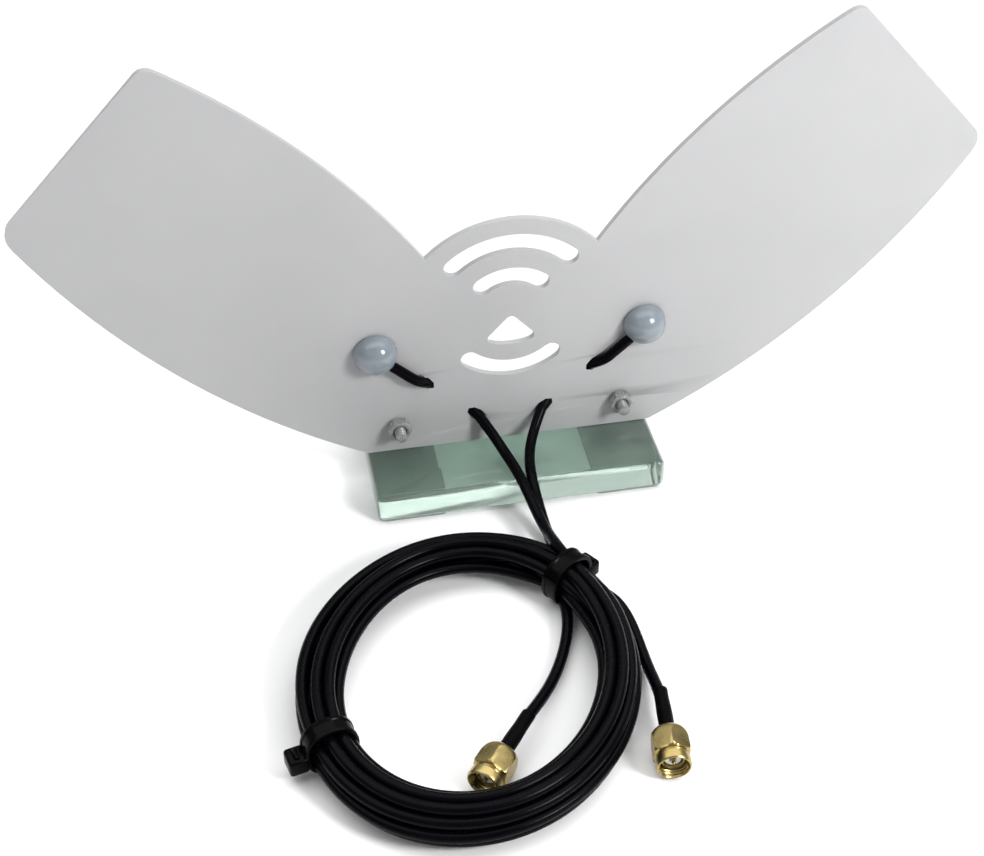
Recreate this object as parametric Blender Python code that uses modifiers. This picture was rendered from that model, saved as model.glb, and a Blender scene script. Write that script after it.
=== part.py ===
"""Flat twin-ear antenna on a glass foot, with two coiled coaxial leads.

Frame: origin on the resting surface under the middle of the glass base,
+X to the object's right as seen from the front, +Y to the back, +Z up.
Everything is in metres.
"""
from math import atan2, cos, hypot, pi, radians, sin, sqrt, tan

import bmesh
import bpy
from mathutils import Matrix, Vector

MM = 0.001
GAP = 0.3 * MM                      # clearance between pieces that touch on the real object

# glass foot and its feet
BASE_WIDTH = 76 * MM
BASE_DEPTH = 38 * MM
GLASS_THICKNESS = 8 * MM
GLASS_ARRIS = 1.2 * MM
PAD_THICKNESS = 0.7 * MM
PAD_WIDTH = 18.2 * MM
PAD_DEPTH = 36 * MM
PAD_X = 28.6 * MM
PAD_ROUND = 2 * MM
GLASS_TOP = PAD_THICKNESS + GAP + GLASS_THICKNESS

# white sheet; ear corners are (half width, height above the glass)
PLATE_THICKNESS = 1.6 * MM
PLATE_FRONT = -PLATE_THICKNESS / 2
EAR_LOW_CORNER = (118.6 * MM, 77.8 * MM)
EAR_HIGH_CORNER = (81.7 * MM, 116.4 * MM)
EAR_LOW_BULGE = 8.2 * MM
EAR_HIGH_BULGE = 4.5 * MM
EAR_LOW_ROUND = 5.4 * MM
EAR_HIGH_ROUND = 3.4 * MM
NOTCH = (21.5 * MM, 59.2 * MM)
RIM_TOP = 68.2 * MM
# centre height, inner radius, outer radius, half angle, +1 opens up or -1 opens down
SLOTS = (
    (39.5 * MM, 19.5 * MM, 24.3 * MM, 0.73, 1),
    (39.5 * MM, 9.8 * MM, 14.6 * MM, 0.64, 1),
    (40.1 * MM, 14.3 * MM, 19.1 * MM, 0.69, -1),
)
KEYHOLE_TOP = 40.2 * MM
KEYHOLE_CORNER = (7.2 * MM, 32.4 * MM)
KEYHOLE_BULGE = 1.6 * MM
KEYHOLE_ROUND = 1.5 * MM

# screws, nuts and brackets
SCREW_X = 29.6 * MM
SCREW_Z = GLASS_TOP + 8.5 * MM
SHANK_RADIUS = 1.45 * MM
SCREW_HOLE_RADIUS = SHANK_RADIUS + GAP
SCREW_HEAD_RADIUS = 2.9 * MM
SCREW_HEAD_HEIGHT = 2.1 * MM
SCREW_TIP = -6.6 * MM
NUT_FLATS = 5.5 * MM
NUT_THICKNESS = 2.6 * MM
BRACKET_WIDTH = 17 * MM
BRACKET_WALL = 1.8 * MM
BRACKET_HEIGHT = 16 * MM
BRACKET_DEPTH = 15 * MM

# foil on the back of each ear
FOIL_THICKNESS = 0.2 * MM
FOIL_LOW = (44 * MM, 18 * MM)
FOIL_LOW_CORNER = (111 * MM, 75 * MM)
FOIL_HIGH_CORNER = (82.5 * MM, 108 * MM)
FOIL_HIGH = (27 * MM, 56 * MM)
FOIL_FEED = (25 * MM, 38 * MM)

# domes over the solder joints, and the stretch of cable that the plate holds
CAP_RADIUS = 5.6 * MM
CAP_WALL = 1 * MM
CAP_X = 34.8 * MM
CAP_Z = GLASS_TOP + 33 * MM
JOINT_RADIUS = 1.6 * MM
JOINT_HEIGHT = 1.5 * MM
CABLE_RADIUS = 1.4 * MM
HELD_TOWARDS = (-24.3, -22.4)       # direction of the cable across the plate, right-hand side
HELD_START = 2.4 * MM               # distances along that direction, from the dome's centre
HELD_DIVE = (12 * MM, 24 * MM)
HELD_RISE = (28 * MM, 40 * MM)
HELD_END = 36 * MM
HELD_OFFSET = CABLE_RADIUS + GAP - PLATE_FRONT

# coil: an oval ring resting on its two ties
COIL_CENTRE = (-25 * MM, -78.9 * MM)
COIL_MINOR = 34.3 * MM              # centreline half axes
COIL_MAJOR = 40.7 * MM
COIL_TURN = radians(68)             # direction of the long axis
BUNDLE_HALF_WIDTH = 4.7 * MM        # at the ends of the short axis
BUNDLE_HALF_HEIGHT = 5.2 * MM
TIE_WALL = 1.1 * MM
TIE_WIDTH = 4.6 * MM
TIE_HEAD_LENGTH = 5.2 * MM          # along the bundle
TIE_HEAD_HEIGHT = 4.6 * MM
TIE_HEAD_DROP = 1.6 * MM            # centre of the head below the middle of the tie
TIE_HEAD_ROUND = 0.6 * MM
TIE_GAP = 1.5 * GAP                 # beside the bundle; a bare GAP above and below it
COIL_Z = 0.1 * MM + TIE_WALL + GAP + BUNDLE_HALF_HEIGHT
TIES = (                            # angle round the ring, and how far the head stands out
    ("upper_tie", radians(42.5), 2.8 * MM),
    ("lower_tie", radians(203), 3.8 * MM),
)

# plugs: back of the coupling nut, heading, height of the axis
PLUG_Z = 4.7 * MM
PLUGS = {
    "left": ((-21.9 * MM, -101.3 * MM), radians(-129)),
    "right": ((15.2 * MM, -102.7 * MM), radians(-97.5)),
}
NUT_HEX_FLATS = 8 * MM
NUT_LENGTH = 10 * MM
NUT_DOME_RADIUS = 2.95 * MM         # where the domed back starts, and how far it reaches
NUT_DOME_LENGTH = 3.4 * MM
NUT_HEX_LENGTH = 6.8 * MM
NUT_GROOVE_RADIUS = 3.55 * MM
NUT_LIP_START = 7.5 * MM
NUT_LIP_RADIUS = 3.95 * MM
NUT_THREAD_RADIUS = 3.25 * MM
NUT_BACK_WALL = 2 * MM
NUT_BACK_RADIUS = 2.5 * MM
NECK_RADIUS = 2.2 * MM
SHELL_RADIUS = 2.6 * MM
SHELL_BORE = 2.15 * MM
INSULATOR_RADIUS = 1.85 * MM
PIN_RADIUS = 0.46 * MM
SLEEVE_LENGTH = 11.8 * MM
SLEEVE_RADIUS = 1.95 * MM
SLEEVE_BORE = CABLE_RADIUS + GAP

# free stretches of cable, from the plate to the coil and from the coil to the sleeves
LEADS = {
    "right": ((8.33, -1.25, 17.6), (6.9, -2.9, 15.6), (5.0, -5.4, 13.2), (3.4, -9.3, 11.3),
              (2.4, -13.5, 10.8), (2.0, -18.0, 10.7), (2.0, -22.5, 8.6), (2.6, -26.6, 5.4),
              (3.2, -30.5, 2.7), (3.8, -35.0, 1.8), (4.0, -39.5, 1.9), (4.0, -43.0, 2.1)),
    "left": ((-8.33, -1.25, 17.6), (-6.6, -3.2, 15.6), (-4.5, -6.6, 13.0), (-2.9, -11.0, 11.2),
             (-1.6, -15.4, 10.9), (-1.0, -19.4, 11.0), (-0.4, -23.2, 10.4), (0.5, -26.8, 8.5),
             (1.5, -30.3, 6.5), (2.3, -34.3, 5.7), (2.6, -37.5, 6.6), (2.5, -40.8, 8.4)),
}
TAILS = {
    "right": ((16.1, -67.2, 4.4), (16.3, -70.2, 3.7), (16.4, -75.2, 2.7), (16.5, -80.7, 2.3),
              (16.7, -86.0, 3.1)),
    "left": ((2.0, -62.3, 2.7), (1.4, -64.6, 2.6), (0.2, -68.3, 2.3), (-1.6, -72.6, 2.1), (-3.6, -76.7, 2.1),
             (-6.1, -81.0, 2.2), (-9.2, -85.6, 2.8)),
}
ROUTE_STEP = 5.5 * MM

SIDES = (("left", -1), ("right", 1))
TURN_STEPS = 24
TUBE_BEVEL = 2
SMALL = 0.01 * MM

COLOURS = {                         # base colour, roughness, metallic
    "board": ((0.78, 0.79, 0.80, 1), 0.45, 0.0),
    "foil": ((0.72, 0.72, 0.70, 1), 0.35, 1.0),
    "glass": ((0.45, 0.62, 0.55, 1), 0.05, 0.0),
    "pad": ((0.10, 0.13, 0.12, 1), 0.7, 0.0),
    "bracket": ((0.30, 0.31, 0.32, 1), 0.5, 0.0),
    "nylon": ((0.66, 0.66, 0.63, 1), 0.3, 0.0),
    "cap": ((0.25, 0.30, 0.34, 1), 0.25, 0.0),
    "solder": ((0.60, 0.60, 0.58, 1), 0.3, 1.0),
    "cable": ((0.012, 0.012, 0.014, 1), 0.35, 0.0),
    "tie": ((0.010, 0.010, 0.012, 1), 0.3, 0.0),
    "sleeve": ((0.010, 0.010, 0.010, 1), 0.5, 0.0),
    "gold": ((0.72, 0.52, 0.18, 1), 0.25, 1.0),
    "insulator": ((0.85, 0.85, 0.82, 1), 0.4, 0.0),
    "spring": ((0.35, 0.33, 0.28, 1), 0.3, 1.0),
}


# ---------------------------------------------------------------- scene helpers

def clear_scene():
    for obj in list(bpy.data.objects):
        bpy.data.objects.remove(obj, do_unlink=True)


def new_collection(name):
    collection = bpy.data.collections.new(name)
    bpy.context.scene.collection.children.link(collection)
    return collection


def material_of(name):
    colour, roughness, metallic = COLOURS[name]
    material = bpy.data.materials.get(name)
    if material is None:
        material = bpy.data.materials.new(name)
        material.use_nodes = True
        shader = material.node_tree.nodes["Principled BSDF"]
        shader.inputs["Base Color"].default_value = colour
        shader.inputs["Roughness"].default_value = roughness
        shader.inputs["Metallic"].default_value = metallic
    return material


def add_object(name, data, material, matrix=None):
    """Link a new part, with its origin and axes given by matrix."""
    obj = bpy.data.objects.new(name, data)
    if material is not None:
        data.materials.append(material_of(material))
    PARTS.objects.link(obj)
    obj.matrix_world = matrix or Matrix.Identity(4)
    return obj


def make_cutter(obj):
    """Move an object to the cutters, where the build leaves it out."""
    PARTS.objects.unlink(obj)
    CUTTERS.objects.link(obj)
    obj.hide_render = True
    obj.display_type = "WIRE"
    return obj


def boolean(obj, other, operation="DIFFERENCE"):
    modifier = obj.modifiers.new(operation.title(), "BOOLEAN")
    modifier.operation = operation
    modifier.solver = "EXACT"
    modifier.object = other


def to_mesh(obj):
    """Swap a curve for its welded mesh, so that it can be cut or can cut."""
    bpy.context.view_layer.update()
    evaluated = obj.evaluated_get(bpy.context.evaluated_depsgraph_get())
    mesh = bpy.data.meshes.new_from_object(evaluated)
    bm = bmesh.new()
    bm.from_mesh(mesh)
    bmesh.ops.remove_doubles(bm, verts=bm.verts, dist=SMALL)
    bmesh.ops.recalc_face_normals(bm, faces=bm.faces)
    bm.to_mesh(mesh)
    bm.free()
    name = obj.name
    matrix = obj.matrix_world.copy()
    bpy.data.objects.remove(obj, do_unlink=True)
    return add_object(name, mesh, None, matrix)


def smooth(obj, angle=radians(35)):
    obj.data.shade_smooth()
    obj.data.set_sharp_from_angle(angle=angle)


# ---------------------------------------------------------------- shapes

def outline_object(name, loops, thickness, material, matrix=None):
    """A flat piece: the first loop is its outline, and the others are holes."""
    curve = bpy.data.curves.new(name, "CURVE")
    curve.dimensions = "2D"
    curve.fill_mode = "BOTH"
    curve.extrude = thickness / 2
    for loop in loops:
        spline = curve.splines.new("POLY")
        spline.points.add(len(loop) - 1)
        for point, (x, y) in zip(spline.points, loop):
            point.co = (x, y, 0, 1)
        spline.use_cyclic_u = True
    return add_object(name, curve, material, matrix)


def tube(name, points, radius, material, bevel=TUBE_BEVEL):
    """A round cord along points, with filled ends."""
    curve = bpy.data.curves.new(name, "CURVE")
    curve.dimensions = "3D"
    curve.bevel_depth = radius
    curve.bevel_resolution = bevel
    curve.use_fill_caps = True
    spline = curve.splines.new("POLY")
    spline.points.add(len(points) - 1)
    for point, place in zip(spline.points, points):
        point.co = (*place, 1)
    return add_object(name, curve, material)


def turned(name, profile, material, matrix=None, steps=TURN_STEPS):
    """A closed (radius, height) profile, outer side first and downwards, turned about local Z."""
    on_axis = [radius < SMALL for radius, _ in profile]
    mesh = bpy.data.meshes.new(name)
    bm = bmesh.new()
    verts = [bm.verts.new((radius, 0, height)) for radius, height in profile]
    pairs = zip(range(len(verts)), [*range(1, len(verts)), 0])
    for a, b in pairs:
        if not (on_axis[a] and on_axis[b]):
            bm.edges.new((verts[a], verts[b]))
    bm.to_mesh(mesh)
    bm.free()
    obj = add_object(name, mesh, material, matrix)
    screw = obj.modifiers.new("Screw", "SCREW")
    screw.axis = "Z"
    screw.steps = steps
    screw.render_steps = steps
    screw.use_merge_vertices = True
    screw.merge_threshold = SMALL / 10
    screw.use_smooth_shade = True
    return obj


def box(name, size, centre, material, bevel=0.0, segments=1, matrix=None):
    mesh = bpy.data.meshes.new(name)
    bm = bmesh.new()
    bmesh.ops.create_cube(bm, size=1)
    bmesh.ops.scale(bm, vec=size, verts=bm.verts)
    bmesh.ops.translate(bm, vec=centre, verts=bm.verts)
    bm.to_mesh(mesh)
    bm.free()
    obj = add_object(name, mesh, material, matrix)
    if bevel:
        modifier = obj.modifiers.new("Bevel", "BEVEL")
        modifier.width = bevel
        modifier.segments = segments
        modifier.harden_normals = False
    return obj


def circle(centre, radius, count):
    return [(centre[0] + radius * cos(2 * pi * i / count), centre[1] + radius * sin(2 * pi * i / count))
            for i in range(count)]


def bulged(start, end, bulge, count):
    """Points of an arc from start to end that stands out by bulge to the right of that direction."""
    chord = hypot(end[0] - start[0], end[1] - start[1])
    along = ((end[0] - start[0]) / chord, (end[1] - start[1]) / chord)
    right = (along[1], -along[0])
    radius = (chord ** 2 / 4 + bulge ** 2) / (2 * bulge)
    half = atan2(chord / 2, radius - bulge)
    points = []
    for i in range(count + 1):
        angle = half * (2 * i / count - 1)
        across = radius * sin(angle) + chord / 2
        out = radius * cos(angle) - (radius - bulge)
        points.append((start[0] + along[0] * across + right[0] * out,
                       start[1] + along[1] * across + right[1] * out))
    return points


def rounded(before, corner, after, radius, count=6):
    """Points of a fillet at corner, and how far along each side it starts."""
    sides = []
    for other in (before, after):
        length = hypot(other[0] - corner[0], other[1] - corner[1])
        sides.append(((other[0] - corner[0]) / length, (other[1] - corner[1]) / length))
    half = abs(atan2(sides[0][0] * sides[1][1] - sides[0][1] * sides[1][0],
                     sides[0][0] * sides[1][0] + sides[0][1] * sides[1][1])) / 2
    reach = radius / tan(half)
    middle = (sides[0][0] + sides[1][0], sides[0][1] + sides[1][1])
    scale = radius / sin(half) / hypot(*middle)
    centre = (corner[0] + middle[0] * scale, corner[1] + middle[1] * scale)
    ends = [(corner[0] + side[0] * reach, corner[1] + side[1] * reach) for side in sides]
    angles = [atan2(end[1] - centre[1], end[0] - centre[0]) for end in ends]
    sweep = (angles[1] - angles[0] + pi) % (2 * pi) - pi
    points = [(centre[0] + radius * cos(angles[0] + sweep * i / count),
               centre[1] + radius * sin(angles[0] + sweep * i / count)) for i in range(count + 1)]
    return points, reach


def away_from(points, corner, reach):
    return [point for point in points if hypot(point[0] - corner[0], point[1] - corner[1]) > reach * 1.02]


def mirrored(points):
    return [(-x, y) for x, y in reversed(points)]


def smooth_route(points, spacing):
    """Catmull-Rom curve through points (metres), sampled about every spacing."""
    knots = [Vector(point) for point in points]
    knots = [2 * knots[0] - knots[1], *knots, 2 * knots[-1] - knots[-2]]
    route = []
    for a, b, c, d in zip(knots, knots[1:], knots[2:], knots[3:]):
        steps = max(1, round((c - b).length / spacing))
        for i in range(steps):
            t = i / steps
            route.append(0.5 * (2 * b + (c - a) * t + (2 * a - 5 * b + 4 * c - d) * t ** 2
                                + (3 * b - a - 3 * c + d) * t ** 3))
    route.append(knots[-2])
    return route


def in_metres(points):
    return [tuple(value * MM for value in point) for point in points]


FACING_FRONT = Matrix.Rotation(pi / 2, 4, "X")      # local X right, local Y up, local Z forward


# ---------------------------------------------------------------- glass foot

def make_base():
    centre = (0, 0, GLASS_TOP - GLASS_THICKNESS / 2)
    box("glass_base", (BASE_WIDTH, BASE_DEPTH, GLASS_THICKNESS), centre, "glass", GLASS_ARRIS, 2)
    for side, sign in SIDES:
        x = sign * PAD_X
        corners = ((x - PAD_WIDTH / 2, -PAD_DEPTH / 2), (x + PAD_WIDTH / 2, -PAD_DEPTH / 2),
                   (x + PAD_WIDTH / 2, PAD_DEPTH / 2), (x - PAD_WIDTH / 2, PAD_DEPTH / 2))
        loop = []
        for i, corner in enumerate(corners):
            points, _ = rounded(corners[i - 1], corner, corners[(i + 1) % 4], PAD_ROUND, 4)
            loop.extend(points)
        place = Matrix.Translation((0, 0, PAD_THICKNESS / 2))
        outline_object(f"{side}_base_pad", [loop], PAD_THICKNESS, "pad", place)


# ---------------------------------------------------------------- plate

def ear_outline():
    """Right half of the plate's edge, from the foot round the ear to the middle of the rim."""
    foot = (BASE_WIDTH / 2, GAP)
    low = bulged(foot, EAR_LOW_CORNER, EAR_LOW_BULGE, 22)
    high = bulged(EAR_HIGH_CORNER, NOTCH, EAR_HIGH_BULGE, 16)
    low_round, low_reach = rounded(low[-3], EAR_LOW_CORNER, EAR_HIGH_CORNER, EAR_LOW_ROUND)
    high_round, high_reach = rounded(EAR_LOW_CORNER, EAR_HIGH_CORNER, high[2], EAR_HIGH_ROUND)
    rise = RIM_TOP - NOTCH[1]
    rim_radius = (NOTCH[0] ** 2 + rise ** 2) / (2 * rise)
    start = atan2(NOTCH[1] - (RIM_TOP - rim_radius), NOTCH[0])
    rim = [(rim_radius * cos(start + (pi / 2 - start) * i / 8),
            RIM_TOP - rim_radius + rim_radius * sin(start + (pi / 2 - start) * i / 8)) for i in range(1, 9)]
    return (away_from(low, EAR_LOW_CORNER, low_reach) + low_round + high_round
            + away_from(high, EAR_HIGH_CORNER, high_reach) + rim)


def slot_outline(centre, inner, outer, half_angle, direction):
    """A curved slot with round ends, about a centre on the plate's middle line."""
    middle = (inner + outer) / 2
    end_radius = (outer - inner) / 2
    points = []
    for i in range(17):
        angle = half_angle * (i / 8 - 1)
        points.append((outer * sin(angle), outer * cos(angle)))
    for sign in (1, -1):
        end = (sign * middle * sin(half_angle), middle * cos(half_angle))
        for i in range(1, 8):
            turn = pi * i / 8 if sign == 1 else pi - pi * i / 8
            heading = pi / 2 - sign * half_angle - sign * turn
            points.append((end[0] + end_radius * cos(heading), end[1] + end_radius * sin(heading)))
        if sign == 1:
            for i in range(17):
                angle = half_angle * (1 - i / 8)
                points.append((inner * sin(angle), inner * cos(angle)))
    return [(x, centre + direction * y) for x, y in points]


def keyhole_outline():
    """The rounded triangle above the lowest slot."""
    apex = (0, KEYHOLE_TOP)
    right = KEYHOLE_CORNER
    left = (-KEYHOLE_CORNER[0], KEYHOLE_CORNER[1])
    foot = bulged(left, right, KEYHOLE_BULGE, 8)
    right_round, reach = rounded(foot[-3], right, apex, KEYHOLE_ROUND)
    top_round, _ = rounded(right, apex, left, KEYHOLE_ROUND)
    return (away_from(away_from(foot, left, reach), right, reach) + right_round + top_round
            + mirrored(right_round))


def raise_to_glass(points):
    return [(x, y + GLASS_TOP) for x, y in points]


def make_plate():
    half = ear_outline()
    outline = half + mirrored(half[:-1])
    holes = [slot_outline(*slot) for slot in SLOTS] + [keyhole_outline()]
    loops = [raise_to_glass(loop) for loop in [outline, *holes]]
    loops += [circle((sign * SCREW_X, SCREW_Z), SCREW_HOLE_RADIUS, 20) for _, sign in SIDES]
    plate = outline_object("antenna_plate", loops, PLATE_THICKNESS, "board", FACING_FRONT)
    plate = to_mesh(plate)
    for side, sign in SIDES:
        path = [held_point(sign, HELD_DIVE[0] + i * MM) for i in range(29)]
        cutter = tube(f"cut_cable_{side}", path, CABLE_RADIUS + GAP, None)
        boolean(plate, make_cutter(to_mesh(cutter)))


def make_foils():
    low = bulged(FOIL_LOW, FOIL_LOW_CORNER, EAR_LOW_BULGE, 12)
    high = bulged(FOIL_HIGH_CORNER, FOIL_HIGH, EAR_HIGH_BULGE, 10)
    loop = raise_to_glass(low + high + [FOIL_FEED])
    back = PLATE_THICKNESS / 2 + GAP + FOIL_THICKNESS / 2
    for side, sign in SIDES:
        points = loop if sign == 1 else mirrored(loop)
        place = Matrix.Translation((0, back, 0)) @ FACING_FRONT
        outline_object(f"{side}_radiator", [points], FOIL_THICKNESS, "foil", place)


# ---------------------------------------------------------------- brackets, screws and nuts

def make_brackets():
    wall = BRACKET_WALL
    corner = [(wall, BRACKET_HEIGHT), (0, BRACKET_HEIGHT), (0, 0), (BRACKET_DEPTH, 0), (BRACKET_DEPTH, wall)]
    inside, _ = rounded((BRACKET_DEPTH, wall), (wall, wall), (wall, BRACKET_HEIGHT), 1.5 * MM, 5)
    front = PLATE_THICKNESS / 2 + GAP
    for side, sign in SIDES:
        # local X to the back, local Y up, local Z along world X
        axes = Matrix(((0, 0, 1, 0), (1, 0, 0, 0), (0, 1, 0, 0), (0, 0, 0, 1)))
        place = Matrix.Translation((sign * SCREW_X, front, GLASS_TOP + GAP)) @ axes
        bracket = outline_object(f"{side}_bracket", [corner + inside], BRACKET_WIDTH, "bracket", place)
        bracket = to_mesh(bracket)
        hole = [(SCREW_HOLE_RADIUS, 6 * MM), (SCREW_HOLE_RADIUS, -6 * MM), (0, -6 * MM), (0, 6 * MM)]
        centre = Matrix.Translation((sign * SCREW_X, front, SCREW_Z)) @ FACING_FRONT
        boolean(bracket, make_cutter(turned(f"cut_bracket_{side}", hole, None, centre)))


def make_fasteners():
    head_seat = PLATE_THICKNESS / 2 + GAP + BRACKET_WALL + GAP
    back = -head_seat - SCREW_HEAD_HEIGHT
    shank_end = -SCREW_TIP
    screw = [(0, shank_end), (SHANK_RADIUS - 0.5 * MM, shank_end), (SHANK_RADIUS, shank_end - 0.5 * MM),
             (SHANK_RADIUS, -head_seat), (SCREW_HEAD_RADIUS, -head_seat),
             (SCREW_HEAD_RADIUS, back + 1.1 * MM), (SCREW_HEAD_RADIUS - 0.5 * MM, back + 0.6 * MM),
             (SCREW_HEAD_RADIUS - 1.5 * MM, back + 0.1 * MM), (0, back)]
    hexagon = circle((0, 0), NUT_FLATS / sqrt(3), 6)
    for side, sign in SIDES:
        place = Matrix.Translation((sign * SCREW_X, 0, SCREW_Z)) @ FACING_FRONT
        smooth(turned(f"{side}_screw", screw, "nylon", place))
        seat = PLATE_FRONT - GAP - NUT_THICKNESS / 2
        place = Matrix.Translation((sign * SCREW_X, seat, SCREW_Z)) @ FACING_FRONT
        loops = [hexagon, circle((0, 0), SCREW_HOLE_RADIUS, 20)]
        outline_object(f"{side}_nut", loops, NUT_THICKNESS, "nylon", place)


# ---------------------------------------------------------------- cable held by the plate

def held_point(sign, along):
    """A point on the cable's centreline, at a distance along its line across the plate."""
    length = hypot(*HELD_TOWARDS)
    x = CAP_X + HELD_TOWARDS[0] / length * along
    z = CAP_Z + HELD_TOWARDS[1] / length * along
    depth = 1.0
    if along > HELD_DIVE[0]:
        depth = cos(pi * min(1.0, (along - HELD_DIVE[0]) / (HELD_DIVE[1] - HELD_DIVE[0])))
    if along > HELD_RISE[0]:
        depth = -cos(pi * min(1.0, (along - HELD_RISE[0]) / (HELD_RISE[1] - HELD_RISE[0])))
    return (sign * x, -HELD_OFFSET * depth, z)


def make_held_cables():
    rim = PLATE_FRONT - GAP
    arc = [(CAP_RADIUS * sin(pi / 2 * i / 8), CAP_RADIUS * cos(pi / 2 * i / 8)) for i in range(9)]
    inner = CAP_RADIUS - CAP_WALL
    hollow = [(inner * cos(pi / 2 * i / 7), inner * sin(pi / 2 * i / 7)) for i in range(8)]
    blob = [(JOINT_RADIUS * sin(pi / 2 * i / 5), JOINT_HEIGHT * cos(pi / 2 * i / 5)) for i in range(6)]
    for side, sign in SIDES:
        place = Matrix.Translation((sign * CAP_X, rim, CAP_Z)) @ FACING_FRONT
        cap = turned(f"{side}_solder_cap", arc + hollow, "cap", place)
        smooth(cap)
        doorway = [held_point(sign, along * MM) for along in (3, 5, 7, 9)]
        cutter = tube(f"cut_cap_{side}", doorway, CABLE_RADIUS + GAP, None)
        boolean(cap, make_cutter(to_mesh(cutter)))
        smooth(turned(f"{side}_solder_joint", blob + [(0, 0)], "solder", place, 16))
        steps = 22
        path = [held_point(sign, HELD_START + (HELD_END - HELD_START) * i / steps) for i in range(steps + 1)]
        tube(f"{side}_held_cable", path, CABLE_RADIUS, "cable")


# ---------------------------------------------------------------- coil and ties

def coil_place(angle):
    """Centreline point, outward direction and local stretch of the ring at a world angle."""
    turn = angle - COIL_TURN
    stretch = COIL_MAJOR / COIL_MINOR
    phase = atan2(sin(turn) * stretch, cos(turn))
    local = (COIL_MAJOR * cos(phase), COIL_MINOR * sin(phase))
    outward = Vector((COIL_MINOR * cos(phase), COIL_MAJOR * sin(phase), 0)).normalized()
    width = stretch / hypot(cos(phase), stretch * sin(phase))
    spin = Matrix.Rotation(COIL_TURN, 4, "Z")
    centre = Vector((*COIL_CENTRE, COIL_Z)) + spin @ Vector((*local, 0))
    return centre, spin @ outward, width


def make_coil():
    count = 16
    profile = [(COIL_MINOR + BUNDLE_HALF_WIDTH * sin(2 * pi * i / count),
                BUNDLE_HALF_HEIGHT * cos(2 * pi * i / count)) for i in range(count)]
    stretch = Matrix.Diagonal((COIL_MAJOR / COIL_MINOR, 1, 1, 1))
    place = (Matrix.Translation((*COIL_CENTRE, COIL_Z)) @ Matrix.Rotation(COIL_TURN, 4, "Z") @ stretch)
    smooth(turned("cable_coil", profile, "cable", place, 48))


def oval(half_width, half_height, count=28):
    """A loop a little squarer than an ellipse."""
    loop = []
    for i in range(count):
        c, s = cos(2 * pi * i / count), sin(2 * pi * i / count)
        grow = (abs(c) ** 2.3 + abs(s) ** 2.3) ** (-1 / 2.3)
        loop.append((half_width * c * grow, half_height * s * grow))
    return loop


def make_ties():
    for name, angle, head_out in TIES:
        centre, outward, width = coil_place(angle)
        along = outward.cross(Vector((0, 0, 1)))
        axes = Matrix((outward, (0, 0, 1), along)).transposed().to_4x4()
        place = Matrix.Translation(centre) @ axes
        inner_width = BUNDLE_HALF_WIDTH * width + TIE_GAP
        inner_height = BUNDLE_HALF_HEIGHT + GAP
        outer_width = inner_width + TIE_WALL
        loops = [oval(outer_width, inner_height + TIE_WALL), oval(inner_width, inner_height)]
        strap = to_mesh(outline_object(name, loops, TIE_WIDTH, "tie", place))
        root = outer_width - TIE_WALL + GAP             # the head starts inside the strap's wall
        tip = outer_width + head_out
        head_size = (tip - root, TIE_HEAD_HEIGHT, TIE_HEAD_LENGTH)
        head_centre = ((root + tip) / 2, -TIE_HEAD_DROP, 0)
        head = box(f"head_of_{name}", head_size, head_centre, None, TIE_HEAD_ROUND, 1, place)
        boolean(strap, make_cutter(head), "UNION")


# ---------------------------------------------------------------- free cables and plugs

def plug_place(side):
    """Frame of a plug: local +Z is the mating direction, local +Y is up."""
    (x, y), heading = PLUGS[side]
    forward = Vector((cos(heading), sin(heading), 0))
    up = Vector((0, 0, 1))
    axes = Matrix((up.cross(forward), up, forward)).transposed().to_4x4()
    return Matrix.Translation((x, y, PLUG_Z)) @ axes


def make_free_cables():
    for side, _ in SIDES:
        lead = smooth_route(in_metres(LEADS[side]), ROUTE_STEP)
        first = (lead[1] - lead[0]).normalized()
        lead[0] = lead[0] + first * GAP
        tube(f"{side}_lead", lead, CABLE_RADIUS, "cable")
        place = plug_place(side)
        sleeve_back = -2 * GAP - SLEEVE_LENGTH
        straight = [place @ Vector((0, 0, t)) for t in (sleeve_back, sleeve_back / 2, -3 * GAP)]
        tail = smooth_route(in_metres(TAILS[side]) + straight, ROUTE_STEP)
        tube(f"{side}_tail", tail, CABLE_RADIUS, "cable")
        sleeve = [(SLEEVE_RADIUS, -2 * GAP), (SLEEVE_RADIUS, sleeve_back + 0.5 * MM),
                  (SLEEVE_RADIUS - 0.15 * MM, sleeve_back), (SLEEVE_BORE, sleeve_back),
                  (SLEEVE_BORE, -2 * GAP)]
        smooth(turned(f"{side}_sleeve", sleeve, "sleeve", place))


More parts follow.
